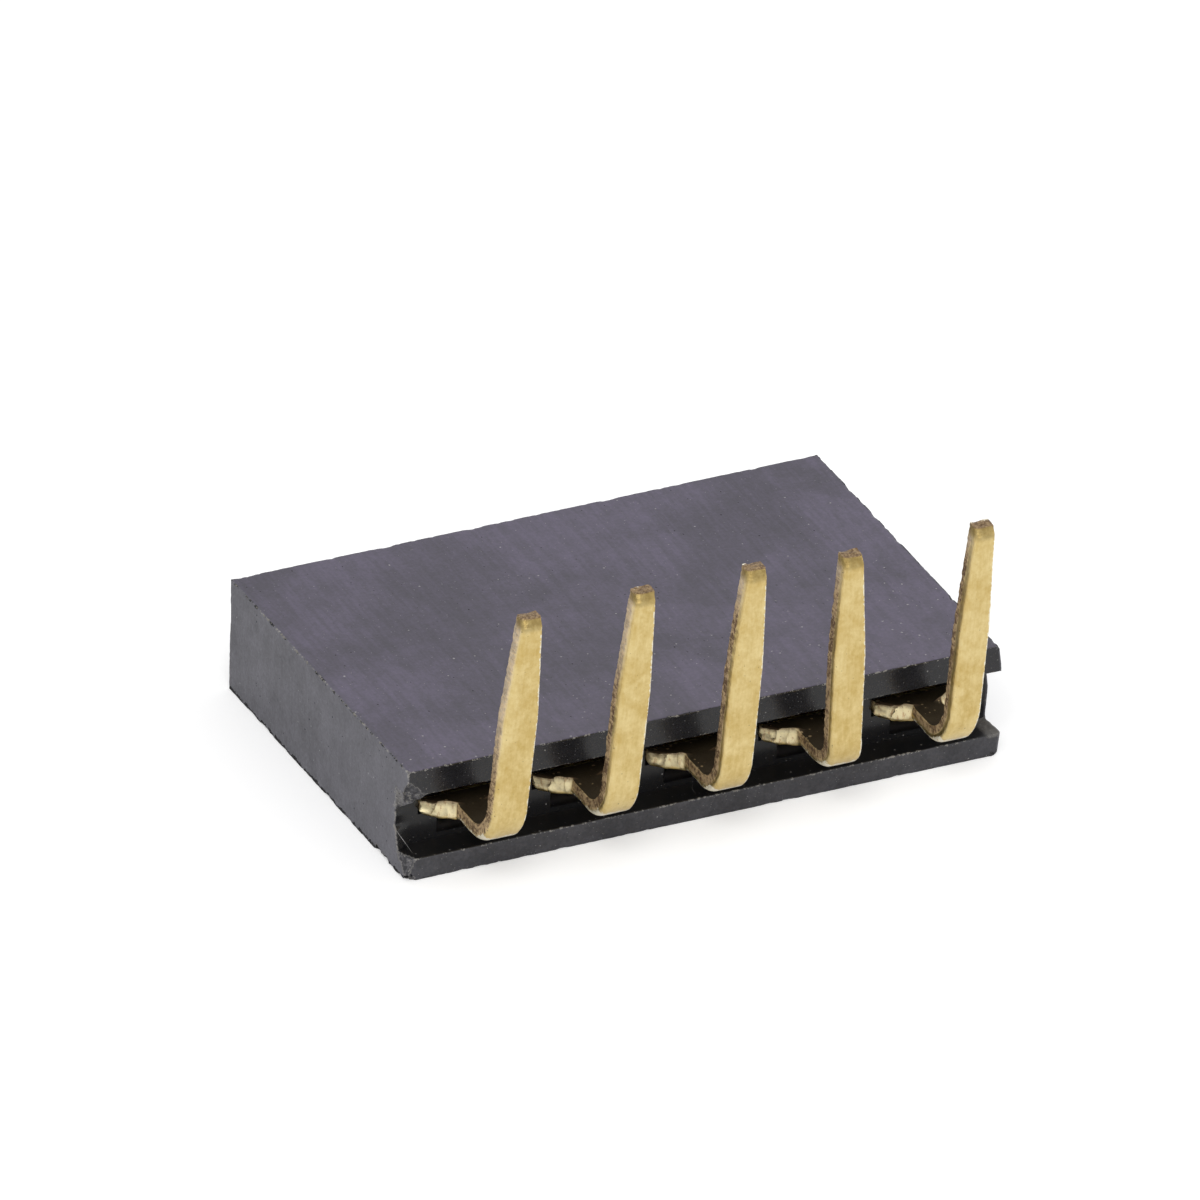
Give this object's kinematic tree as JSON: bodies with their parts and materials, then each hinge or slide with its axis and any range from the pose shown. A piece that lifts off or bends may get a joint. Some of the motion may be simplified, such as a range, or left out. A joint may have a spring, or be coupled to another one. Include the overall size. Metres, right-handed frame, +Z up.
{
  "type": "right-angle female header",
  "caption": "Right-angle socket strip: its flat side lies on a circuit board, bent tails solder into the board, and header pins plug in from the side.",
  "frame": {"origin": "centre of the housing's lower face, on which the part rests as pictured", "axes": "+X along the row, +Y towards the mating side (the tails stand on the -Y side), +Z up along the tails, towards the board"},
  "size_m": [0.0132, 0.0101, 0.0065],
  "materials": {
    "black_plastic": "moulded black plastic, satin sheen, faint drag lines, sawn and broken left end",
    "gilt_brass": "gold flash on rolled strip, brushed and mottled, with brown sheared edges"
  },
  "bodies": {
    "root": {"housing": "black_plastic", "contact_1": "gilt_brass", "contact_2": "gilt_brass", "contact_3": "gilt_brass", "contact_4": "gilt_brass", "contact_5": "gilt_brass"}
  },
  "joints": []
}
